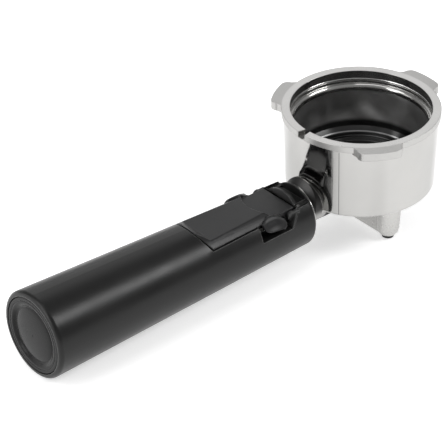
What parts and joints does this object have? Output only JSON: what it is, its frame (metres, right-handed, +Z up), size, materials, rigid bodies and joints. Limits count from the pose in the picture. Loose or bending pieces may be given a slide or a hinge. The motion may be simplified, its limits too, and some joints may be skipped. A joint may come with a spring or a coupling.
{
  "type": "portafilter",
  "caption": "Metal filter bowl with locking lugs and twin pouring outlets on a tapered black handle with a flip-up lever that holds the basket.",
  "frame": {"origin": "centre of the basket bore, level with the rim's top face", "axes": "+Z up along the bowl's axis, out of its mouth; the handle points along -X; the outlets lie either side of the axis along Y"},
  "size_m": [0.195, 0.0668, 0.0513],
  "materials": {
    "cast_aluminium": "cast, turned and polished satin",
    "polished_steel": "bright turned steel",
    "zinc_steel": "zinc plated",
    "black_plastic": "satin moulded",
    "lever_plastic": "fine matt moulded",
    "silicone": "plain moulded",
    "black_rubber": "moulded"
  },
  "bodies": {
    "holder": {"bowl": "cast_aluminium", "neck_ring": "polished_steel", "anti_turn_pin": "zinc_steel", "handle_shell": "black_plastic", "end_cap": "black_plastic", "handle_bolt": "zinc_steel", "spring_washer": "zinc_steel", "flat_washer": "zinc_steel", "hinge_block": "black_plastic", "lever_pin": "polished_steel", "detent_spring": "polished_steel", "detent_screws": "zinc_steel", "spout_body": "cast_aluminium", "spout_gasket": "silicone", "spout_screw": "polished_steel", "spout_tip_left": "black_rubber", "spout_tip_right": "black_rubber"},
    "lever": {"press_lever": "lever_plastic"}
  },
  "joints": [
    {"name": "lever_flip", "type": "hinge", "parent": "holder", "child": "lever", "pos_m": [-0.0446, 0, -0.0266], "axis": [0, 1, 0], "range_deg": [0, 105]}
  ]
}
